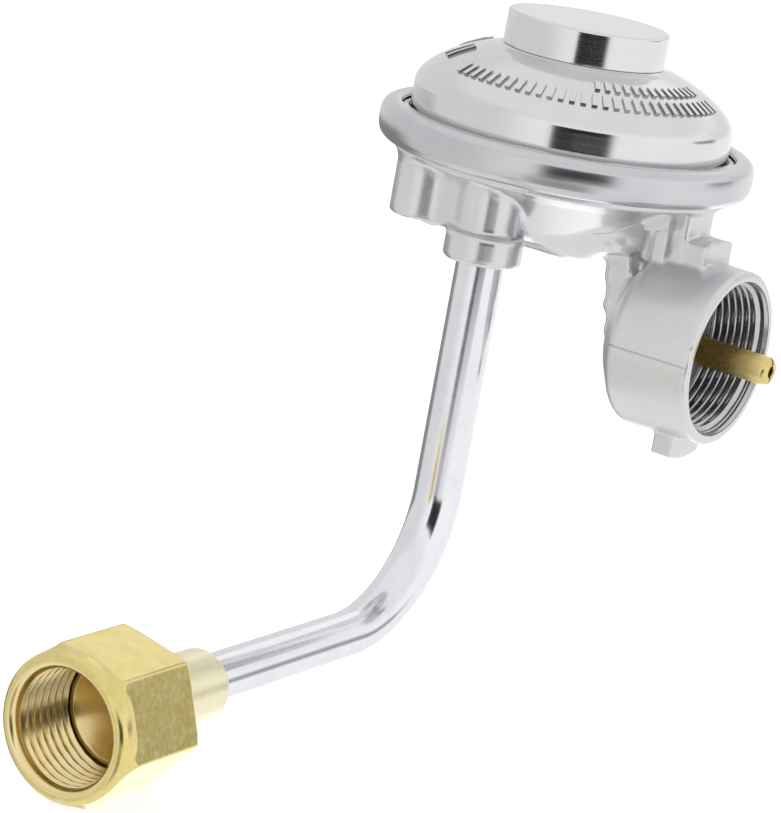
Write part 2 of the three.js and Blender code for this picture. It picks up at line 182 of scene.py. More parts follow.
def filleted(points, closed=False):
    """A profile with round corners. Each point is (radius, along, corner radius)."""
    out = []
    for i, (u, v, radius) in enumerate(points):
        here = np.array((u, v), float)
        if radius == 0 or (not closed and i in (0, len(points) - 1)):
            out.append(here)
            continue
        back = unit(np.array(points[i - 1][:2]) - here)
        ahead = unit(np.array(points[(i + 1) % len(points)][:2]) - here)
        half = math.acos(np.clip(back @ ahead, -1, 1)) / 2
        centre = here + unit(back + ahead) * radius / math.sin(half)
        first = here + back * radius / math.tan(half) - centre
        last = here + ahead * radius / math.tan(half) - centre
        begin = math.atan2(first[1], first[0])
        turn = (math.atan2(last[1], last[0]) - begin + math.pi) % (2 * math.pi) - math.pi
        steps = max(2, math.ceil(abs(turn) / math.radians(10)))
        for angle in np.linspace(begin, begin + turn, steps + 1):
            out.append(centre + radius * np.array((math.cos(angle), math.sin(angle))))
    return out


def rounded_off(points):
    """A chain of points with its corners cut three times over, its two ends kept."""
    chain = [np.array(p, float) for p in points]
    for _ in range(3):
        cut = [chain[0]]
        for a, b in zip(chain[:-1], chain[1:]):
            cut += [0.75 * a + 0.25 * b, 0.25 * a + 0.75 * b]
        chain = cut + [chain[-1]]
    return chain


def supported(points, closed):
    """The profile with a point close to both ends of each long stretch, which keeps it flat."""
    gap = 0.25
    out = []
    following = points[1:] + points[:1] if closed else points[1:]
    for a, b in zip(points, following):
        length = np.linalg.norm(b - a)
        out.append(a)
        if length > 4 * gap:
            out += [a + (b - a) * gap / length, b + (a - b) * gap / length]
    if not closed:
        out.append(points[-1])
    return out


def placed(radial, along, angle, axis):
    """A point from its distance to an axis, its place along it and its angle about it."""
    c, s = radial * math.cos(angle), radial * math.sin(angle)
    return {"x": (along, c, s), "y": (s, along, c), "z": (c, s, along)}[axis]


def band(low, high, count):
    """The quads between two rings of vertices."""
    return [(low + k, low + (k + 1) % count, high + (k + 1) % count, high + k) for k in range(count)]


def fan(middle, start, count, flip):
    """The triangles between a vertex and a ring."""
    edges = [(start + k, start + (k + 1) % count) for k in range(count)]
    return [(middle, b, a) if flip else (middle, a, b) for a, b in edges]


def lathe(profile, axis="z", centre=(0, 0, 0), around=144, closed=False):
    """A turned mesh. An open profile starts and ends on the axis, a closed one goes round."""
    profile = supported([np.array(p, float) for p in profile], closed)
    vertices, rings = [], []
    for radial, along in profile:
        count = 1 if radial < 1e-9 else around
        rings.append(range(len(vertices), len(vertices) + count))
        for k in range(count):
            vertices.append(placed(radial, along, 2 * math.pi * k / around, axis))
    pairs = list(zip(rings[:-1], rings[1:]))
    if closed:
        pairs.append((rings[-1], rings[0]))
    faces = []
    for a, b in pairs:
        if len(a) > 1 and len(b) > 1:
            faces += band(a[0], b[0], around)
        elif len(b) > 1:
            faces += fan(a[0], b[0], around, True)
        elif len(a) > 1:
            faces += fan(b[0], a[0], around, False)
    vertices = np.array(vertices, float) + np.array(centre, float)
    return facing_out(vertices, faces)


def threaded_plug(stations, radius_at, axis, centre):
    """A closed plug whose radius depends on the place along the axis and the angle."""
    around = 160
    vertices = []
    for along in stations:
        for k in range(around):
            angle = 2 * math.pi * k / around
            vertices.append(placed(radius_at(along, angle), along, angle, axis))
    faces = []
    last = (len(stations) - 1) * around
    for start in range(0, last, around):
        faces += band(start, start + around, around)
    for along, start, flip in ((stations[0], 0, True), (stations[-1], last, False)):
        faces += fan(len(vertices), start, around, flip)
        vertices.append(placed(0, along, 0, axis))
    return facing_out(np.array(vertices, float) + np.array(centre, float), faces)


def block(low, high):
    """A plain cutter between two corners."""
    corners = np.array([[(low, high)[(i >> a) & 1][a] for a in range(3)] for i in range(8)], float)
    faces = [(0, 2, 3, 1), (4, 5, 7, 6), (0, 1, 5, 4), (2, 6, 7, 3), (0, 4, 6, 2), (1, 3, 7, 5)]
    return facing_out(corners, faces)


def pin(axis, radius, low, high, centre=(0, 0, 0), around=48):
    """A plain round cutter along an axis."""
    return lathe([(0, low), (radius, low), (radius, high), (0, high)], axis, centre, around)


def swept(points, section):
    """A closed section carried along a line of points, open at both ends."""
    points = np.array(points, float)
    heading = [unit(v) for v in np.gradient(points, axis=0)]
    side = np.cross(heading[0], (1, 0, 0) if abs(heading[0][0]) < 0.9 else (0, 1, 0))
    vertices = []
    for place, ahead in zip(points, heading):
        side = unit(side - ahead * (side @ ahead))
        up = np.cross(ahead, side)
        vertices += [place + u * side + v * up for u, v in section]
    count = len(section)
    faces = []
    for start in range(0, len(vertices) - count, count):
        faces += band(start, start + count, count)
    return np.array(vertices), faces


def circle(radius, count):
    angles = [2 * math.pi * k / count for k in range(count)]
    return [(radius * math.cos(a), radius * math.sin(a)) for a in angles]


def rod(points, radius, around=12):
    """A solid round bar along a line of points, with a flat face at each end."""
    vertices, faces = swept(points, circle(radius, around))
    last = len(vertices) - around
    faces.append(tuple(range(around)))
    faces.append(tuple(reversed(range(last, last + around))))
    return vertices, faces


def pipe(points, outer, inner, around):
    """A hollow tube along a line of points, with a ring face at each end."""
    outside, faces = swept(points, circle(outer, around))
    inside, lining = swept(points, circle(inner, around))
    shift = len(outside)
    faces += [tuple(shift + i for i in reversed(face)) for face in lining]
    faces += band(shift - around, 2 * shift - around, around)
    faces += [tuple(reversed(face)) for face in band(0, shift, around)]
    return facing_out(np.vstack([outside, inside]), faces)


# ---- solids from distance fields ----


def smooth_min(a, b, k):
    h = np.clip(0.5 + 0.5 * (b - a) / k, 0, 1)
    return b + (a - b) * h - k * h * (1 - h)


def smooth_max(a, b, k):
    return -smooth_min(-a, -b, k)


def within(radial, upright, edge):
    """The distance to a shape from its distances across and along, with a rounded edge."""
    a, b = radial + edge, upright + edge
    outside = np.hypot(np.maximum(a, 0), np.maximum(b, 0))
    return np.minimum(np.maximum(a, b), 0) + outside - edge


def span(v, low, high):
    """The distance to the stretch between two places on an axis."""
    return np.abs(v - (low + high) / 2) - (high - low) / 2


def post_field(x, y, z, centre, radius, low, high, edge):
    """An upright round post."""
    radial = np.hypot(x - centre[0], y - centre[1]) - radius
    return within(radial, span(z, low, high), edge)


def wall_field(x, y, z, a, b, thickness, low, high, edge):
    """An upright wall between two posts."""
    length = math.hypot(b[0] - a[0], b[1] - a[1])
    c, s = (b[0] - a[0]) / length, (b[1] - a[1]) / length
    u, v = x - (a[0] + b[0]) / 2, y - (a[1] + b[1]) / 2
    flat = within(np.abs(u * c + v * s) - length / 2, np.abs(v * c - u * s) - thickness / 2, edge)
    return within(flat, span(z, low, high), edge)


def box_field(x, y, z, low, high, edge):
    """A box between two corners."""
    sides = [span(*side) for side in zip((x, y, z), low, high)]
    return within(within(sides[0], sides[1], edge), sides[2], edge)


def outline_field(u, v, points):
    """The signed distance to a flat polygon."""
    distance = np.full(np.broadcast(u, v).shape, 1e9)
    inside = np.zeros(distance.shape, bool)
    for (au, av), (bu, bv) in zip(points, points[1:] + points[:1]):
        eu, ev = bu - au, bv - av
        t = np.clip(((u - au) * eu + (v - av) * ev) / (eu * eu + ev * ev), 0, 1)
        distance = np.minimum(distance, np.hypot(u - au - t * eu, v - av - t * ev))
        if ev != 0:
            inside ^= (v >= min(av, bv)) & (v < max(av, bv)) & (u < au + (v - av) * eu / ev)
    return np.where(inside, -distance, distance)


def settled(field, points, reach):
    """Points moved onto a field's surface, each by no more than reach per step."""
    nudge = 0.02
    for _ in range(3):
        value = field(*points.T)
        slope = np.empty_like(points)
        for axis, step in enumerate(nudge * np.eye(3)):
            change = field(*(points + step).T) - field(*(points - step).T)
            slope[:, axis] = change / (2 * nudge)
        square = np.maximum((slope**2).sum(1), 1e-3)
        move = -(value / square)[:, None] * slope
        length = np.maximum(np.linalg.norm(move, axis=1), 1e-9)
        points = points + move * np.minimum(1, reach / length)[:, None]
    return points


def surface_of(field, low, high, step):
    """A quad mesh on a distance field's surface: one vertex in each cell that it crosses."""
    axes = [np.arange(a, b + step, step) for a, b in zip(low, high)]
    grid = np.meshgrid(*axes, indexing="ij", sparse=True)
    value = np.broadcast_to(field(*grid), [len(a) for a in axes])
    inside = value < 0
    shape = [n - 1 for n in inside.shape]
    corners = [(i, j, k) for i in (0, 1) for j in (0, 1) for k in (0, 1)]

    def corner(array, offset):
        return array[tuple(slice(o, o + n) for o, n in zip(offset, shape))]

    filled = sum(corner(inside, c).astype(np.int8) for c in corners)
    cells = np.argwhere((filled > 0) & (filled < 8))
    place = np.zeros((len(cells), 3))
    crossings = np.zeros(len(cells))
    for a in corners:
        for axis in range(3):
            if a[axis]:
                continue
            b = tuple(v + (i == axis) for i, v in enumerate(a))
            va = value[tuple((cells + a).T)]
            vb = value[tuple((cells + b).T)]
            crossed = (va < 0) != (vb < 0)
            share = np.where(crossed, va / np.where(crossed, va - vb, 1), 0)
            spot = np.array(a) + share[:, None] * (np.array(b) - np.array(a))
            place += np.where(crossed[:, None], spot, 0)
            crossings += crossed
    points = np.array(low) + step * (cells + place / crossings[:, None])
    number = np.full(shape, -1)
    number[tuple(cells.T)] = np.arange(len(cells))
    quads = []
    steps = np.eye(3, dtype=int)
    for axis in range(3):
        first, second = [slice(1, -1)] * 3, [slice(1, -1)] * 3
        first[axis], second[axis] = slice(0, -1), slice(1, None)
        here, there = inside[tuple(first)], inside[tuple(second)]
        edges = np.argwhere(here != there)
        leaving = here[tuple(edges.T)]
        base = edges + 1 - steps[axis]
        to_u, to_v = steps[(axis + 1) % 3], steps[(axis + 2) % 3]
        ring = [base, base - to_u, base - to_u - to_v, base - to_v]
        quad = np.stack([number[tuple(c.T)] for c in ring], 1)
        quads.append(np.where(leaving[:, None], quad, quad[:, ::-1]))
    faces = [tuple(face) for face in np.vstack(quads).tolist()]
    return facing_out(settled(field, points, step / 2), faces)


# ---- pieces ----


def linked(name, data):
    """A new object in the scene."""
    made = bpy.data.objects.new(name, data)
    bpy.context.scene.collection.objects.link(made)
    return made


def mesh_object(name, shape, material):
    """A new object from a shape in millimetres."""
    vertices, faces = shape
    mesh = bpy.data.meshes.new(name)
    shifted = (np.asarray(vertices) + [0, 0, CLAMP_Z]) * MM
    mesh.from_pydata(shifted.tolist(), [], faces)
    mesh.materials.append(material)
    return linked(name, mesh)


def combined(base, shape, operation="DIFFERENCE", material=None):
    """Joins a closed shape to an object or cuts it away. Cut faces take the shape's material."""
    tool = mesh_object("tool", shape, material or base.data.materials[0])
    step = base.modifiers.new("combine", "BOOLEAN")
    step.operation = operation
    step.solver = "MANIFOLD"
    step.material_mode = "TRANSFER"
    step.object = tool
    bpy.context.view_layer.update()
    graph = bpy.context.evaluated_depsgraph_get()
    result = bpy.data.meshes.new_from_object(base.evaluated_get(graph))
    base.modifiers.remove(step)
    base.data = result
    bpy.data.objects.remove(tool)
    return base


def second_material(piece, material, chosen):
    """Gives the chosen faces another material."""
    piece.data.materials.append(material)
    for face in piece.data.polygons:
        if chosen(face):
            face.material_index = 1


def finished(piece, slot, *nodes, body="casing", crease=32):
    """Smooth shading with crisp edges, and the piece's place in the frame."""
    piece.data.shade_smooth()
    piece.data.set_sharp_from_angle(angle=math.radians(crease))
    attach(piece, body)
    if nodes:
        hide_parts(*nodes)
    return piece


# ---- materials ----


class Graph:
    """A short way to add shader nodes. An input named _2 is the one with number 2."""

    def __init__(self, tree):
        self.tree = tree

    def add(self, kind, settings=None, **inputs):
        node = self.tree.nodes.new("ShaderNode" + kind)
        for name, value in (settings or {}).items():
            setattr(node, name, value)
        for name, value in inputs.items():
            key = int(name[1:]) if name[0] == "_" else name
            self.join(value, node.inputs[key])
        return node

    def join(self, value, socket):
        if isinstance(value, bpy.types.NodeSocket):
            self.tree.links.new(value, socket)
        else:
            socket.default_value = value

    def math(self, operation, *values):
        inputs = {f"_{i}": v for i, v in enumerate(values)}
        return self.add("Math", {"operation": operation}, **inputs).outputs[0]

    def blended(self, a, b, share):
        """Two values added, the first by its share and the second by the rest."""
        first, second = self.math("MULTIPLY", a, share), self.math("MULTIPLY", b, 1 - share)
        return self.math("ADD", first, second)

    def spread(self, value, low, high, to_low=0.0, to_high=1.0, smooth=False):
        """The value taken from one range to another, clamped at both ends."""
        settings = {"interpolation_type": "SMOOTHSTEP"} if smooth else {}
        node = self.add("MapRange", settings, _0=value, _1=low, _2=high, _3=to_low, _4=to_high)
        return node.outputs[0]

    def noise(self, place, per_mm, detail=3.0, roughness=0.55):
        settings = {"Scale": per_mm / MM, "Detail": detail, "Roughness": roughness}
        return self.add("TexNoise", Vector=place, **settings).outputs[0]


def shaded(name):
    """A new material, its graph, its main shader and the object's own coordinates."""
    material = bpy.data.materials.new(name)
    material.use_nodes = True
    graph = Graph(material.node_tree)
    shader = material.node_tree.nodes["Principled BSDF"]
    place = graph.add("TexCoord").outputs["Object"]
    return material, graph, shader, place


def coloured(graph, shader, share, first, second):
    """Sets the shader's colour to a mix of two."""
    colour = graph.add("Mix", {"data_type": "RGBA"}, _0=share, _6=(*first, 1.0), _7=(*second, 1.0))
    graph.join(colour.outputs[2], shader.inputs["Base Color"])


def surfaced(graph, shader, metallic, roughness, height, depth_mm):
    """Sets how metallic and how rough the shader is, and its relief."""
    bump = graph.add("Bump", Strength=1.0, Distance=depth_mm * MM, Height=height)
    graph.join(metallic, shader.inputs["Metallic"])
    graph.join(roughness, shader.inputs["Roughness"])
    graph.join(bump.outputs[0], shader.inputs["Normal"])


def metal(name, dark, light, rough, grain=1.0, patch=0.12, depth=0.004, metallic=1.0, matt_x=None):
    """A metal with patches of tone, uneven roughness and a fine grain.

    Beyond matt_x along X, if that is given, the metal is more matt.
    """
    material, graph, shader, place = shaded(name)
    patches = graph.noise(place, patch)
    fine = graph.noise(place, grain, 4.0)
    tone = graph.blended(patches, fine, 0.6)
    coloured(graph, shader, graph.spread(tone, 0.35, 0.65), dark, light)
    roughness = graph.spread(fine, 0.3, 0.7, *rough)
    if matt_x is not None:
        x = graph.add("SeparateXYZ", _0=place).outputs[0]
        extra = graph.spread(x, (matt_x - 4) * MM, (matt_x + 5) * MM, 0.0, 0.11, smooth=True)
        roughness = graph.math("ADD", roughness, extra)
    surfaced(graph, shader, metallic, roughness, fine, depth)
    return material


def turned_metal(name, dark, light, rough, axis, centre, lines=5.0, depth=0.002):
    """A metal with the fine rings that a lathe or a polishing wheel leaves about an axis."""
    material, graph, shader, place = shaded(name)
    offset = [-v * MM for v in np.add(centre, (0, 0, CLAMP_Z))]
    centred = graph.add("VectorMath", {"operation": "ADD"}, _0=place, _1=offset).outputs[0]
    parts = graph.add("SeparateXYZ", _0=centred).outputs
    along = parts["xyz".index(axis)]
    across = [parts[i] for i in range(3) if i != "xyz".index(axis)]
    squares = [graph.math("MULTIPLY", a, a) for a in across]
    radial = graph.math("SQRT", graph.math("ADD", *squares))
    rings = graph.add("CombineXYZ", _0=radial, _1=along).outputs[0]
    scratches = graph.noise(rings, lines, 4.0, 0.7)
    patches = graph.noise(place, 0.15)
    tone = graph.blended(patches, scratches, 0.55)
    coloured(graph, shader, graph.spread(tone, 0.35, 0.65), dark, light)
    surfaced(graph, shader, 1.0, graph.spread(scratches, 0.3, 0.7, *rough), scratches, depth)
    return material


def painted_shade_along(name, near, far, near_x, far_x):
    """A metal painted darker at one place along X and lighter at another: a gradient of painted shade."""
    material, graph, shader, place = shaded(name)
    x = graph.add("SeparateXYZ", _0=place).outputs[0]
    x_share = graph.spread(x, near_x * MM, far_x * MM, smooth=True)
    fine = graph.noise(place, 0.8, 4.0)
    coloured(graph, shader, graph.blended(x_share, fine, 0.8), near, far)
    surfaced(graph, shader, 1.0, graph.spread(fine, 0.3, 0.7, 0.24, 0.32), fine, 0.0003)
    return material


def woven(graph, place, per_mm):
    """The height of threads that cross along X and Y."""
    threads = []
    for direction in ("X", "Y"):
        wave = graph.add("TexWave", {"bands_direction": direction}, Vector=place, Scale=per_mm / MM)
        threads.append(wave.outputs["Fac"])
    return graph.math("MAXIMUM", *threads)


def rubber(name, colour, sheen_colour, weave_mm=None):
    """Matt rubber, with a woven face where it is backed with fabric."""
    material, graph, shader, place = shaded(name)
    fine = graph.noise(place, 3.0, 5.0)
    coloured(graph, shader, graph.spread(fine, 0.3, 0.7), colour, sheen_colour)
    height, depth = (woven(graph, place, 0.5 / weave_mm), 0.03) if weave_mm else (fine, 0.01)
    surfaced(graph, shader, 0.0, graph.spread(fine, 0.3, 0.7, 0.55, 0.8), height, depth)
    return material


def sintered(name, dark, light):
    """Small bronze balls pressed together."""
    material, graph, shader, place = shaded(name)
    balls = graph.add("TexVoronoi", Vector=place, Scale=4.0 / MM).outputs["Distance"]
    coloured(graph, shader, graph.spread(balls, 0, 0.6), light, dark)
    surfaced(graph, shader, 1.0, 0.5, graph.math("SUBTRACT", 1.0, balls), 0.05)
    return material


def screen_mesh(name, dark, light):
    """Fine woven wire."""
    material, graph, shader, place = shaded(name)
    height = woven(graph, place, 1.1)
    coloured(graph, shader, graph.spread(height, 0.4, 0.8), dark, light)
    surfaced(graph, shader, 1.0, 0.4, height, 0.06)
    return material


MAIN = (0, 0, 0)
INLET = (0, 0, INLET_Z)
OUTLET = (0, 0, TUBE_AXIS_Z)

cast_options = {"grain": 1.2, "depth": 0.0006, "metallic": 0.85, "matt_x": 18}
cast_alloy = metal("cast_alloy", (0.68, 0.68, 0.70), (0.73, 0.73, 0.74), (0.21, 0.25), **cast_options)
# The alloy for the collar's seam is darker than the casting: painted shade along the raised line.
seam_painted_shade = metal("seam_painted_shade", (0.52, 0.52, 0.54), (0.60, 0.60, 0.62), (0.3, 0.4), 1.2, depth=0.001)
machined = turned_metal(
    "machined_alloy", (0.50, 0.505, 0.52), (0.62, 0.62, 0.63), (0.18, 0.26), "x", INLET
)
polished = turned_metal(
    "polished_alloy", (0.73, 0.73, 0.735), (0.77, 0.77, 0.77), (0.11, 0.15), "z", MAIN, 4, depth=0.0002
)
# Darker colour for the steep sides of the dome's raised bars: painted shade.
mark_sides_painted_shade = metal("mark_sides_painted_shade", (0.34, 0.34, 0.36), (0.46, 0.46, 0.48), (0.25, 0.35), 1.2, depth=0.001)
ring_metal = turned_metal(
    "ring_metal", (0.60, 0.60, 0.63), (0.66, 0.66, 0.68), (0.20, 0.25), "z", MAIN, 1.2, depth=0.0004
)
plating = metal("tube_plating", (0.80, 0.80, 0.84), (0.88, 0.88, 0.91), (0.13, 0.16), 0.9, depth=0.0006)
brass = metal("nut_brass", (0.77, 0.63, 0.22), (0.86, 0.74, 0.33), (0.18, 0.26), 1.2, 0.35, depth=0.002)
bored_brass = turned_metal(
    "bored_brass", (0.86, 0.69, 0.32), (0.94, 0.80, 0.46), (0.20, 0.27), "y", OUTLET, 2.5, depth=0.0004
)
pale_brass = metal(
    "pale_brass", (0.90, 0.83, 0.56), (0.96, 0.90, 0.66), (0.30, 0.36), 1.2, depth=0.0008
)
probe_brass = metal(
    "probe_brass", (0.50, 0.34, 0.10), (0.58, 0.41, 0.14), (0.24, 0.32), 0.5, depth=0.0004
)
# The probe is painted darker towards its rear, deep in the collar, and lighter at its tip: painted shade.
probe_painted_shade = painted_shade_along(
    "probe_painted_shade", (0.50, 0.34, 0.10), (0.84, 0.68, 0.30), PROBE_TIP_X - 9, PROBE_TIP_X - 1
)
steel = metal("plain_steel", (0.50, 0.51, 0.52), (0.62, 0.63, 0.64), (0.25, 0.38), 1.5)
spring_wire = metal("spring_wire", (0.36, 0.37, 0.39), (0.50, 0.51, 0.53), (0.2, 0.3), 2.0)
sheet_rubber = rubber("diaphragm_rubber", (0.012, 0.012, 0.013), (0.035, 0.035, 0.038), 0.6)
seal_rubber = rubber("seal_rubber", (0.010, 0.010, 0.011), (0.030, 0.030, 0.033))
filter_bronze = sintered("filter_bronze", (0.22, 0.15, 0.07), (0.55, 0.42, 0.22))
screen_bronze = screen_mesh("screen_bronze", (0.05, 0.04, 0.03), (0.62, 0.52, 0.34))

# ---- body casting ----

OUTLET_SPOT = (0.0, OUTLET_Y)
SCREW_BOSS = (-13.8, -18.8)
VALLEY = 1.4  # fillet between a boss and the wall that it stands on


def head_field(x, y, z):
    """The clamp flange, the sloping bowl under it and the rounded trough that runs along X."""
    lip = post_field(x, y, z, (0, 0), CLAMP_R, -2.1, -0.15, 0.3)
    flange = post_field(x, y, z, (0, 0), FLANGE_R, FLANGE_BOTTOM, -1, 0.6)
    side = [(11.5, BOWL_BOTTOM - 0.4), (24.2, -5.2), (26.5, -2)]
    bowl = outline_field(np.hypot(x, y), z, [(-30, BOWL_BOTTOM), *side, (-30, -2)])
    trough_low, trough_high, trough_r = -2, 5, 9.3
    reach = np.hypot(x - np.clip(x, trough_low, trough_high), y) - trough_r
    trough = within(reach, np.abs(z - BOWL_BOTTOM) - (BOWL_BOTTOM - SUMP_BOTTOM), 3.95)
    shell = smooth_min(smooth_min(bowl, trough, 4.0), flange, 2.0)
    return np.minimum(lip, shell)


def outlet_field(x, y, z):
    """The screw boss and the outlet boss, the walls between them, and the tube's socket."""
    low, high = BOWL_BOTTOM, -3
    screw = post_field(x, y, z, SCREW_BOSS, 5.4, low, high, 0.6)
    outlet = post_field(x, y, z, OUTLET_SPOT, 4.6, low, high, 0.6)
    plan = [(-13.9, -20.4), (-1.4, -25.0), (3.0, -16.0), (0, 0), (-11.0, -14.5)]
    wall = within(outline_field(x, y, plan), span(z, low, high), 0.6)
    bosses = smooth_min(smooth_min(screw, wall, 2.2), outlet, VALLEY)
    for a, thickness in ((SCREW_BOSS, 8), (OUTLET_SPOT, 7)):
        bosses = smooth_min(bosses, wall_field(x, y, z, a, (0, 0), thickness, low, high, 0.6), VALLEY)
    socket = post_field(x, y, z, OUTLET_SPOT, 6.4, SOCKET_BOTTOM, low + 1.0, 0.8)
    return smooth_min(bosses, socket, 0.8)


def arm_field(x, y, z):
    """The arm from the bowl to the inlet, with its rounded end."""
    end = (16, -4)
    low, high = BOWL_BOTTOM + 0.3, -4.6
    reach = np.hypot(x - np.clip(x, 6, end[0]), y - end[1]) - 4.5
    return within(reach, span(z, low, high), 2.6)


def neck_field(x, y, z):
    """The neck over the inlet, with the small lug and the pillar on its side."""
    neck = post_field(x, y, z, (23, 0), 5.3, -14, -3, 0.6)
    shoulder = box_field(x, y, z, (24.9, -5.1, -14), (27.7, 3, -3), 0.8)
    pillar = box_field(x, y, z, (22.6, -6.5, -14), (25.0, -4, -6), 0.35)
    outline = [(20.5, -3), (20.6, -6), (21.3, -8.4), (25.4, -7.5), (25.4, -3)]
    lug = within(outline_field(x, z, outline), np.abs(y + 6.3) - 1.85, 0.35)
    return smooth_min(smooth_min(smooth_min(neck, shoulder, 0.8), pillar, 0.25), lug, 0.25)


def web_field(x, y, z):
    """The upright web from the arm down to the back of the collar, thinner in its middle."""
    rear_edge = [(13.4, -11), (13.5, -14), (15.1, -22), (17.0, -30)]
    outline = rear_edge + [(23.4, -32), (23.4, -19.6), (19.2, -16.6), (18.0, -11)]
    half_width = 5.0
    web = within(outline_field(x, z, outline), np.abs(y) - half_width, 0.8)
    rib = box_field(x, y, z, (15.6, -2.7, -29), (24, 2.7, -8), 0.6)
    web = smooth_min(web, rib, 0.8)
    lump_y, wide, tall, inset = -3.4, 1.6, 1.7, 0.9
    for height, stand in ((-17.6, 0.2), (-22.4, 0.55), (-26.6, 0.5)):
        edge_x = float(np.interp(height, (-30, -22, -14), (17.0, 15.1, 13.5)))
        from_x = x - edge_x - inset + stand
        from_y = (y - lump_y) / wide
        from_z = (z - height) / tall
        lump = np.sqrt(from_x**2 + from_y**2 + from_z**2) - 1.0
        web = smooth_min(web, lump, 0.5)
    return web


def ear_field(x, y, z, front_x, back_x, upward, lean):
    """An ear on the collar: a block that ends on a circle about the inlet axis."""
    half_width, foot_height, edge = 4.95, 8, 0.35
    height = (z - INLET_Z) * upward
    rear = (back_x + lean * (height - COLLAR_R) - x) / math.hypot(1, lean)
    slab = within(np.maximum(rear, x - front_x), np.abs(y) - half_width, edge)
    slab = np.maximum(slab, foot_height - height)
    return smooth_max(slab, np.hypot(y, z - INLET_Z) - LUG_R, edge)


def collar_field(x, y, z):
    """The threaded collar's outside, with a rounded cone at its rear and an ear above and below."""
    rear_x, rear_r, side_x = 18.4, 9.0, 22.3
    r = np.hypot(y, z - INLET_Z)
    taper = 0.3 / (MOUTH_X - side_x)
    side = r - COLLAR_R + taper * (x - side_x)
    lean = unit(np.array((side_x - rear_x, COLLAR_R - 0.4 - rear_r)))
    cone = (r - rear_r) * lean[0] - (x - rear_x) * lean[1]
    wall = smooth_max(side, cone, 1.0)
    wall = smooth_max(wall, rear_x - x, 1.0)
    wall = smooth_max(wall, x - MOUTH_X, 0.7)
    top_ear = ear_field(x, y, z, 31.2, 25.2, 1, 0.4)
    low_ear = ear_field(x, y, z, 32.4, 28.8, -1, 0.0)
    return smooth_min(wall, np.minimum(top_ear, low_ear), 0.7)


def casting_field(x, y, z):
    """The whole casting. Each part has the fillet that joins it to the rest."""
    solid = head_field(x, y, z)
    parts = ((outlet_field, VALLEY), (arm_field, 3.5), (neck_field, 0.8), (web_field, 1.0))
    for field, fillet in (*parts, (collar_field, 0.7)):
        solid = smooth_min(solid, field(x, y, z), fillet)
    return solid


def clipped(v):
    return min(1.0, max(0.0, v))


def thread_depth(along, angle, pitch):
    """From 0 on a thread's crest to 1 in its root, on a right-hand helix."""
    phase = (along / pitch - angle / (2 * math.pi)) % 1.0
    flat = 0.14  # the share of half a pitch that a flat crest or a flat root takes
    return clipped((abs(2 * phase - 1) - flat) / (1 - 2 * flat))


def collar_bore():
    """The thread, with a smooth stretch and a chamfer at the mouth."""
    thread_end = MOUTH_X - 1.1
    chamfer_r, fade, relief = 13.0, 0.6, 1.4

    def radius_at(x, angle):
        if x > MOUTH_X - 0.75:
            return chamfer_r - max(0, MOUTH_X - 0.1 - x) * 0.45
        depth = thread_depth(x, angle, INLET_PITCH)
        ends = clipped((thread_end - x) / fade) * clipped((x - COLLAR_FLOOR_X - relief) / fade)
        smooth_r = INLET_MAJOR_R + 0.02
        return smooth_r + ends * (INLET_MINOR_R + (INLET_MAJOR_R - INLET_MINOR_R) * depth - smooth_r)

    count = round((MOUTH_X + 1 - COLLAR_FLOOR_X) / INLET_PITCH * 16)
    stations = np.linspace(COLLAR_FLOOR_X, MOUTH_X + 1, count)
    return threaded_plug(stations, radius_at, "x", INLET)


def casting_hollows():
    """The chamber under the diaphragm, the lever's slots and the gas passages."""
    outlet_height, passage_r = -8.6, 2.1
    chamber = [(0, -15.2), (7.4, -15.2), (7.4, -12.3), (13.2, -12.3), (13.2, -4)]
    chamber += [(22.6, -3.2), (25.3, -0.9), (25.3, 1), (0, 1)]
    over_outlet, over_nozzle = (0, OUTLET_Y, 0), (NOZZLE_X, 0, 0)
    return [
        lathe(chamber, around=96),
        block((0, -4.1, -10.6), (24.4, 4.1, 0.5)),
        block((PIVOT_X - 0.9, -6, PIVOT_Z - 0.9), (PIVOT_X + 0.9, 6, 0.6)),
        pin("z", 2.2, -13.4, -10, over_nozzle),
        pin("z", 1.3, INLET_Z, -13, over_nozzle),
        pin("x", PROBE_R + 0.15, NOZZLE_X - 1, COLLAR_FLOOR_X + 1, INLET),
        pin("y", passage_r, OUTLET_Y, -10, (0, 0, outlet_height)),
        pin("z", passage_r, SOCKET_BOTTOM - 1, outlet_height, over_outlet),
        pin("z", TUBE_R + 0.2, SOCKET_BOTTOM - 1, TUBE_TOP + 0.2, over_outlet),
    ]


def make_casting():
    low = (-FLANGE_R - 3, -CLAMP_R - 1, body_low[2] - CLAMP_Z - 1)
    high = (MOUTH_X + 1, CLAMP_R + 1, 1)
    casting = mesh_object("casting", surface_of(casting_field, low, high, 0.45), cast_alloy)
    combined(casting, collar_bore(), material=machined)
    for hollow in casting_hollows():
        combined(casting, hollow)
    finished(casting, "cast_alloy", "body")


def make_seams():
    """The fine raised lines where the casting die's halves met. The one on the collar is coloured darker
    than the casting, as painted shade.
    """
    on_collar = [(x, -COLLAR_R, INLET_Z) for x in np.linspace(20.0, MOUTH_X - 0.7, 40)]
    across_arm = np.linspace(12.6, 20.6, 33)
    dips = [(12.6, -9.1), (13.8, -9.7), (16.2, -9.6), (17.6, -8.6), (19.0, -8.3), (20.6, -8.3)]
    heights = np.interp(across_arm, *zip(*rounded_off(dips)))
    on_arm = [(x, -9.0, z) for x, z in zip(across_arm, heights)]
    seam_r = 0.15
    for i, (line, alloy) in enumerate(((on_collar, seam_painted_shade), (on_arm, cast_alloy))):
        path = settled(casting_field, np.array(line), 1.5)
        seam = mesh_object(f"casting_seam_{i + 1}", rod(path, seam_r, 10), alloy)
        finished(seam, "cast_alloy")


# ---- bonnet, cap and ring ----

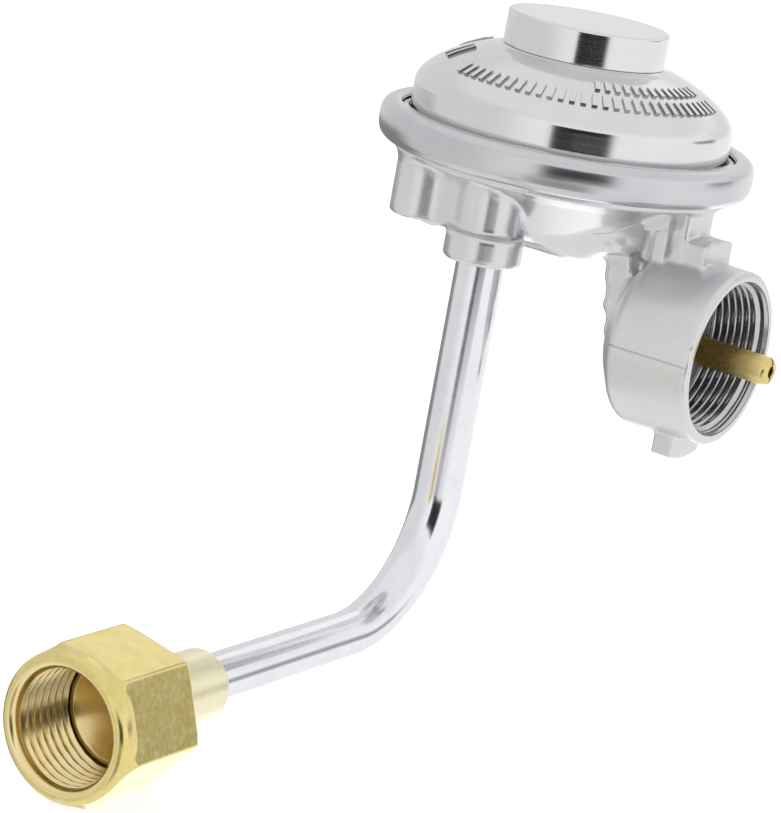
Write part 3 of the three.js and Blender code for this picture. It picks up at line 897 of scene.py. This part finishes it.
VENT = (-6.5, 17.9)
DOME = [(BONNET_R, SHOULDER_Z), (25.7, 9), (23.9, 10.7), (21.2, 12.4), (17.8, 14), (15.4, 14.75)]


def dome_height(r):
    """The height of the bonnet's outside at a distance from the main axis."""
    return float(np.interp(r, *zip(*reversed(DOME))))


def make_bonnet():
    wall, tower_top = 1.8, 19.6
    foot = CAP_BASE - 0.06
    bend = rounded_off([(BONNET_R + 1.3, 2.1), (BONNET_R, 2.1), (BONNET_R, 3.6)])
    shoulder = rounded_off([(BONNET_R, SHOULDER_Z - 1.6), (BONNET_R, SHOULDER_Z), *DOME[1:]])
    outside = bend + shoulder
    cove = rounded_off([DOME[-1], (14.0, 15.05), (13.5, foot)])[1:]
    inside = [(r - wall * 0.7, z - wall * 0.8) for r, z in reversed(DOME[:-1])]
    profile = [(CLAMP_R, 2.1)] + outside + cove
    profile += [(TOWER_R, foot), (TOWER_R, tower_top), (TOWER_BORE_R, tower_top), (TOWER_BORE_R, 13.4)]
    profile += inside + [(BONNET_R - wall, 1), (CLAMP_R, 1)]
    bonnet = mesh_object("bonnet_shell", lathe(profile, closed=True, around=192), polished)
    spot = (*VENT, 0)
    boss = filleted([(0, 9.7, 0), (3.2, 9.7, 0), (3.2, 14.3, 0.5), (0, 14.3, 0)])
    combined(bonnet, lathe(boss, "z", spot, 64), "UNION")
    combined(bonnet, pin("z", 2.1, 11.4, 20, spot))
    combined(bonnet, pin("z", 1.1, 5, 20, spot))
    finished(bonnet, "bonnet_metal", "bonnet")


def dome_bar(azimuth, inner_r, outer_r, half_width):
    """A raised bar that runs outwards on the dome, with a flat top and sloping sides."""
    angle = math.radians(azimuth)
    outward = np.array((math.sin(angle), -math.cos(angle), 0))
    across = np.array((math.cos(angle), math.sin(angle), 0))
    proud, sunk, slope, steps = 0.38, 0.6, 0.12, 8
    foot_half = half_width + slope
    section = [(-foot_half, -sunk), (-half_width, proud), (half_width, proud), (foot_half, -sunk)]
    vertices, faces = [], []
    for r in np.linspace(inner_r, outer_r, steps + 1):
        foot = outward * r + [0, 0, dome_height(r)]
        fall = dome_height(r + 0.5) - dome_height(r - 0.5)
        upright = unit(np.array((0, 0, 1)) - outward * fall)
        vertices += [foot + across * u + upright * v for u, v in section]
    for i in range(steps):
        faces += band(4 * i, 4 * (i + 1), 4)
    faces += [(3, 2, 1, 0), tuple(4 * steps + k for k in range(4))]
    return facing_out(np.array(vertices), faces)


def gathered(shapes):
    """Several closed shapes as one list of vertices and faces."""
    vertices, faces = [], []
    for more_vertices, more_faces in shapes:
        shift = sum(len(v) for v in vertices)
        vertices.append(more_vertices)
        faces += [tuple(shift + i for i in face) for face in more_faces]
    return np.vstack(vertices), faces


def make_marks():
    """Plain raised bars on the dome, in an outer and an inner row, and two pairs set apart."""
    # Each row: the azimuths of its bars, where they begin and end, and their half width.
    rows = [
        (np.arange(-25, 106, 4.4), 21.4, 23.7, 0.42),
        (np.arange(38, 105, 4.8), 18.2, 20.2, 0.38),
        ((-53, -47, -92, -86), 18.0, 22.4, 0.45),
    ]
    bars = [dome_bar(azimuth, *size) for azimuths, *size in rows for azimuth in azimuths]
    marks = mesh_object("bonnet_marks", gathered(bars), polished)
    # Faces steeper than this take the darker colour: painted shade on the bars' sides.
    painted_shade_below = 0.55
    second_material(marks, mark_sides_painted_shade, lambda face: face.normal.z < painted_shade_below)
    finished(marks, "bonnet_metal", crease=20)


def make_cap():
    hollow_r, ceiling = TOWER_R + 0.3, CAP_TOP - 1.2
    profile = [(0, CAP_TOP, 0), (CAP_R, CAP_TOP, 0.55), (CAP_R, CAP_BASE, 0.12)]
    profile += [(hollow_r, CAP_BASE, 0.1), (hollow_r, ceiling, 0.2), (0, ceiling, 0)]
    cap = mesh_object("bonnet_cap_shell", lathe(filleted(profile), around=192), polished)
    finished(cap, "bonnet_metal", "bonnet_cap")


def make_ring():
    """The rolled ring: its rounded outside, and the groove that grips bonnet and flange."""
    sheet, fillet, groove_r = 0.85, 0.3, 30.25
    upper = [(28.0, RING_TOP - 0.45), (28.25, RING_TOP), (29.9, RING_TOP), (31.1, 2.3), (RING_R, 0.9)]
    lower = [(RING_R, -0.9), (31.0, -2.2), (29.9, RING_BOTTOM), (28.9, RING_BOTTOM)]
    outer = rounded_off(upper + lower + [(28.7, RING_BOTTOM + 0.45)])
    inner = [(28.7, RING_BOTTOM + sheet, 0), (groove_r, RING_BOTTOM + sheet, fillet)]
    inner += [(groove_r, RING_TOP - sheet, fillet), (28.0, RING_TOP - sheet, 0)]
    profile = outer + filleted(inner)
    ring = mesh_object("crimped_ring", lathe(profile, closed=True, around=240), ring_metal)
    finished(ring, "ring_metal", "crimp_ring")


# ---- inlet ----


def make_probe():
    bore, half_slot, slot_depth = 0.95, 0.2, 0.6
    profile = [(bore, PROBE_REAR_X, 0.1), (PROBE_R, PROBE_REAR_X, 0.2)]
    profile += [(PROBE_R, PROBE_TIP_X, 1.15), (bore, PROBE_TIP_X, 0.25)]
    tube = lathe(filleted(profile, closed=True), "x", INLET, 96, closed=True)
    probe = mesh_object("probe_tube", tube, probe_painted_shade)
    low = (PROBE_TIP_X - slot_depth, -half_slot, INLET_Z - 3)
    combined(probe, block(low, (PROBE_TIP_X + 1, half_slot, INLET_Z + 3)))
    finished(probe, "pin_brass", "inlet_probe")


def make_gasket():
    inner, outer = PROBE_R + 0.3, gasket_high[1]
    low, high = gasket_low[0], gasket_high[0]
    corners = [(inner, low), (outer, low), (outer, high), (inner, high)]
    profile = filleted([(r, x, 0.3) for r, x in corners], closed=True)
    gasket = mesh_object("sealing_ring", lathe(profile, "x", INLET, 96, closed=True), seal_rubber)
    finished(gasket, "seal_rubber", "inlet_gasket")


# ---- outlet ----


def tube_line():
    """The tube's centre line: a drop, a right-angle bend and a run out along -Y."""
    bend_end_y = OUTLET_Y - BEND_R
    bend_start_z = TUBE_AXIS_Z + BEND_R
    drop = [(0, OUTLET_Y, z) for z in np.linspace(TUBE_TOP, bend_start_z, 12)]
    bend = []
    for angle in np.linspace(0, math.pi / 2, 49)[1:]:
        bend.append((0, bend_end_y + BEND_R * math.cos(angle), bend_start_z - BEND_R * math.sin(angle)))
    run = [(0, y, TUBE_AXIS_Z) for y in np.linspace(bend_end_y, TUBE_END_Y, 12)[1:]]
    return drop + bend + run


def make_tube():
    tube = mesh_object("bent_tube", pipe(tube_line(), TUBE_R, TUBE_R - TUBE_WALL, 72), plating)
    finished(tube, "tube_plating", "outlet_tube")


def make_tailpiece():
    """The sleeve on the tube, with the nut's flange and the cone seat."""
    bore, flange_r, rim_r, seat_bore = TUBE_R + 0.2, 8.3, 7.6, 2.8
    flange_y = SEAT_RIM_Y + 2.9
    seat_end_y = SEAT_RIM_Y + rim_r - seat_bore
    socket_y = NUT_REAR_Y + 1.8
    profile = [(bore, SLEEVE_END_Y, 0.15), (SLEEVE_R, SLEEVE_END_Y, 0.75), (SLEEVE_R, flange_y, 0.3)]
    profile += [(flange_r, flange_y, 0.2), (flange_r, SEAT_RIM_Y, 0.2), (rim_r, SEAT_RIM_Y, 0.2)]
    profile += [(seat_bore, seat_end_y, 0.2), (seat_bore, socket_y, 0), (bore, socket_y, 0)]
    turned = lathe(filleted(profile, closed=True), "y", OUTLET, 128, closed=True)
    sleeve = mesh_object("sleeve_and_seat", turned, bored_brass)
    second_material(sleeve, pale_brass, lambda face: face.center.y > (NUT_REAR_Y - 0.5) * MM)
    finished(sleeve, "nut_brass", "tailpiece")


def nut_field(x, y, z):
    """A hexagon with a round lip standing out at its mouth."""
    height = z - TUBE_AXIS_Z
    flats = HEX_CORNER_R * math.cos(math.pi / 6)
    r, depth = np.hypot(x, height), y - NUT_MOUTH_Y
    foot_r, foot_depth, foot_slope = 10.9, 1.3, 0.85
    rear_r, rear_slope = 11.5, 1.6
    front = (r - foot_r - foot_slope * (depth - foot_depth)) / math.hypot(1, foot_slope)
    rear = (r - rear_r - rear_slope * (NUT_REAR_Y - y)) / math.hypot(1, rear_slope)
    solid = smooth_max(front, rear, 0.2)
    for angle in (HEX_FLAT_ANGLE + k * math.pi / 3 for k in range(3)):
        across = np.abs(x * math.cos(angle) + height * math.sin(angle)) - flats
        solid = smooth_max(solid, across, 0.25)
    solid = smooth_max(solid, foot_depth - depth, 0.2)
    solid = smooth_max(solid, y - NUT_REAR_Y, 0.3)
    lip_r, lip_length, lip_edge = 11.25, 3.4, 1.3
    lip = within(r - lip_r, span(depth, 0, lip_length), lip_edge)
    return smooth_min(solid, lip, 0.7)


def nut_bore():
    """The nut's thread, with a smooth counterbore at the mouth and a relief at the back."""
    wall, counterbore, fade, relief = 2.2, 1.3, 0.5, 2.4
    lead, flare, open_r, relief_r = 1.6, 1.15, 8.75, 9.2
    back = NUT_REAR_Y - wall

    def radius_at(y, angle):
        depth = y - NUT_MOUTH_Y
        if depth < lead:
            rise = 1 - max(0.0, depth) / lead
            return open_r + flare * (1 - math.sqrt(1 - rise**2))
        ends = clipped((depth - counterbore) / fade) * clipped((back - relief - y) / fade)
        thread_r = NUT_MINOR_R + (NUT_MAJOR_R - NUT_MINOR_R) * thread_depth(y, angle, NUT_PITCH)
        base_r = open_r if depth < 4 else relief_r
        return base_r + ends * (thread_r - base_r)

    count = round((back - NUT_MOUTH_Y + 1) / NUT_PITCH * 20)
    close_to_mouth = [NUT_MOUTH_Y + lead * t for t in (0.0, 0.003, 0.012, 0.03)]
    stations = sorted([*np.linspace(NUT_MOUTH_Y - 1, back, count), *close_to_mouth])
    return threaded_plug(stations, radius_at, "y", OUTLET)


def make_nut():
    margin = 0.6
    reach = HEX_CORNER_R + margin
    low = (-reach, NUT_MOUTH_Y - margin, TUBE_AXIS_Z - reach)
    high = (reach, NUT_REAR_Y + margin, TUBE_AXIS_Z + reach)
    nut = mesh_object("hexagon_nut", surface_of(nut_field, low, high, 0.22), brass)
    rear_hole = pin("y", SLEEVE_R + 0.3, NUT_REAR_Y - 4, NUT_REAR_Y + 1, OUTLET, 96)
    for hole in (nut_bore(), rear_hole):
        combined(nut, hole, material=bored_brass)
    finished(nut, "nut_brass", "swivel_nut", body="nut")


# ---- inside the head ----


def make_diaphragm():
    """The rubber sheet. Its middle follows the diaphragm's plate, its rim stays gripped."""
    thickness, fold_r, fold_at, drop = 0.6, 3.0, 20.8, 0.8
    top_z = sheet_high[2] - CLAMP_Z
    top = [(sheet_high[0], top_z), (fold_at + fold_r + 1, top_z)]
    for angle in np.linspace(0, math.pi, 25):
        top.append((fold_at + fold_r * math.cos(angle), top_z - fold_r * drop * math.sin(angle)))
    top.append((2.5, top_z))
    bottom = [(r, z - thickness) for r, z in reversed(top)]
    sheet = mesh_object("diaphragm_sheet", lathe(top + bottom, closed=True), sheet_rubber)
    sheet.data.shade_smooth()
    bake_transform(sheet, "casing", "diaphragm_carriage", (0, 0, 0), (0, 0, 1))
    follow = sheet.data.attributes["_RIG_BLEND"]
    for i, vertex in enumerate(sheet.data.vertices):
        r = math.hypot(vertex.co.x, vertex.co.y) / MM
        t = np.clip((fold_at + fold_r - r) / (2 * fold_r), 0, 1)
        follow.data[i].value = t * t * (3 - 2 * t)
    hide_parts("diaphragm")


def make_spring():
    """The main spring, in two lengths that meet halfway: each follows the seat at its own end."""
    wire, radius, coils = 0.6, 7.2, 6
    low, high = coil_low[2] - CLAMP_Z + 0.05 + wire, coil_high[2] - CLAMP_Z - 0.05 - wire
    middle = (low + high) / 2
    halves = (("lower", 0.0, "diaphragm_carriage", low), ("upper", 0.5, "spring_carriage", high))
    for name, first, seat, seat_z in halves:
        line = []
        for t in np.linspace(first, first + 0.5, 12 * coils + 1):
            angle = t * coils * 2 * math.pi
            line.append((radius * math.cos(angle), radius * math.sin(angle), low + (high - low) * t))
        half = mesh_object("spring_" + name, rod(line, wire, 12), spring_wire)
        half.data.shade_smooth()
        start = (0, 0, (seat_z + CLAMP_Z) * MM)
        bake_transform(half, seat, "casing", start, (0, 0, (middle + CLAMP_Z) * MM))
        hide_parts("main_spring")


def dress_frame_nodes():
    """Procedural finishes for the CAD nodes that are shown as they are."""
    finishes = [
        (steel, "adjusting_screw", "spring_seat", "diaphragm_plate", "backing_washer"),
        (steel, "stem_nut", "valve_lever", "lever_pin"),
        (probe_brass, "diaphragm_stem", "inlet_nozzle"),
        (seal_rubber, "seat_pad", "tube_seal"),
        (filter_bronze, "inlet_filter"),
        (screen_bronze, "vent_screen"),
    ]
    for finish, *names in finishes:
        for name in names:
            materials = frame["nodes"][name].data.materials
            materials.clear()
            materials.append(finish)


# ---- studio ----

CAMERA_AZIMUTH = math.radians(31.087)
CAMERA_ELEVATION = math.radians(14.828)
CAMERA_ROLL = math.radians(10.2825)
CAMERA_DISTANCE = 539.28
CAMERA_TARGET = np.array((-24.382, 0.0, -73.76))
CAMERA_LENS = 137.42


def make_camera():
    data = bpy.data.cameras.new("camera")
    data.lens = CAMERA_LENS
    data.sensor_width = 36
    data.clip_start = 0.01
    data.clip_end = 50
    camera = linked("camera", data)
    matrix = Matrix.Translation(CAMERA_TARGET * MM)
    turns = ((CAMERA_AZIMUTH, "Z"), (math.pi / 2 - CAMERA_ELEVATION, "X"), (CAMERA_ROLL, "Z"))
    for angle, axis in turns:
        matrix = matrix @ Matrix.Rotation(angle, 4, axis)
    camera.matrix_world = matrix @ Matrix.Translation((0, 0, CAMERA_DISTANCE * MM))
    bpy.context.scene.camera = camera


def window(graph, value, low, high, soft_low, soft_high):
    """1 between low and high, falling smoothly to 0 outside."""
    rise = graph.spread(value, low - soft_low / 2, low + soft_low / 2, smooth=True)
    fall = graph.spread(value, high - soft_high / 2, high + soft_high / 2, 1.0, 0.0, smooth=True)
    return graph.math("MULTIPLY", rise, fall)


def make_world():
    """A bright studio with dark, grey and bright panels, which polished metal reflects."""
    world = bpy.data.worlds.new("studio")
    bpy.context.scene.world = world
    world.use_nodes = True
    graph = Graph(world.node_tree)
    direction = graph.add("TexCoord").outputs["Generated"]
    about_z = {"rotation_type": "Z_AXIS"}
    turned = graph.add("VectorRotate", about_z, Vector=direction, Angle=-CAMERA_AZIMUTH)
    x, y, z = graph.add("SeparateXYZ", _0=turned.outputs[0]).outputs
    around = graph.math("ARCTAN2", x, graph.math("MULTIPLY", y, -1.0))
    azimuth = graph.math("MULTIPLY", around, 180 / math.pi)
    elevation = graph.math("MULTIPLY", graph.math("ARCSINE", z), 180 / math.pi)
    # The studio is a little darker underfoot and overhead than at the height of the object.
    upwards = graph.spread(elevation, -60, 10, 0.96, 1.04, smooth=True)
    overhead = graph.spread(elevation, 12, 40, 1.0, 0.86, smooth=True)
    level = graph.math("MULTIPLY", upwards, overhead)
    # Each panel: azimuth from and to, softness of its two sides, elevation from and to,
    # softness above and below, and how bright it is. The camera stands at azimuth 0.
    panels = [
        (-190, -40, 5, 50, -50, 40, 20, 0.78),
        (120, 190, 30, 5, 3, 22, 8, 0.85),
        (-14, 29, 2, 8, -12.4, 14, 1.2, 0.02),
        (-18, 1, 3, 5, -15.2, -12.5, 1.6, 0.03),
        (-24, 18, 8, 10, -46, -18, 8, 0.40),
        (97, 122, 8, 8, -3, 8, 6, 0.38),
        (-190, -118, 5, 16, -40, -9.4, 2, 0.28),
        (140, 190, 12, 5, -60, -24, 10, 1.5),
        (150, 190, 12, 5, 26, 45, 8, 1.05),
    ]
    for low, high, soft_low, soft_high, floor, ceiling, edge, brightness in panels:
        across = window(graph, azimuth, low, high, soft_low, soft_high)
        upright = window(graph, elevation, floor, ceiling, edge, edge)
        share = graph.math("MULTIPLY", across, upright)
        kept = graph.math("MULTIPLY", level, graph.math("SUBTRACT", 1.0, share))
        level = graph.math("ADD", kept, graph.math("MULTIPLY", share, brightness))
    background = world.node_tree.nodes["Background"]
    graph.join(level, background.inputs["Strength"])
    background.inputs["Color"].default_value = (1.0, 1.0, 1.0, 1.0)


def make_floor():
    half_side, gap, tones = 6.0, 0.0004, (0.33, 0.35)
    height = cad_box[0][2] - gap
    sides = ((-1, -1), (1, -1), (1, 1), (-1, 1))
    mesh = bpy.data.meshes.new("floor")
    mesh.from_pydata([(x * half_side, y * half_side, height) for x, y in sides], [], [(0, 1, 2, 3)])
    floor = linked("floor", mesh)
    material, graph, shader, place = shaded("floor_paper")
    share = graph.spread(graph.noise(place, 0.02), 0.3, 0.7)
    coloured(graph, shader, share, *([tone] * 3 for tone in tones))
    shader.inputs["Roughness"].default_value = 0.9
    shader.inputs["Emission Color"].default_value = (1, 1, 1, 1)
    shader.inputs["Emission Strength"].default_value = 0.8
    mesh.materials.append(material)
    floor.visible_glossy = False


def make_lights():
    """One large soft lamp over the left shoulder of the camera."""
    data = bpy.data.lights.new("soft_key", "AREA")
    data.shape = "DISK"
    data.size = 1.2
    data.energy = 1.5
    lamp = linked("soft_key", data)
    place, aim = Vector((-0.25, -0.55, 0.75)), Vector((0, -0.05, -0.06))
    lamp.location = place
    lamp.rotation_euler = (aim - place).to_track_quat("-Z", "Y").to_euler()
    lamp.visible_glossy = False


make_casting()
make_seams()
make_bonnet()
make_marks()
make_cap()
make_ring()
make_probe()
make_gasket()
make_tube()
make_tailpiece()
make_nut()
make_diaphragm()
make_spring()
dress_frame_nodes()
make_camera()
make_world()
make_floor()
make_lights()
bpy.context.scene.view_settings.view_transform = "Standard"
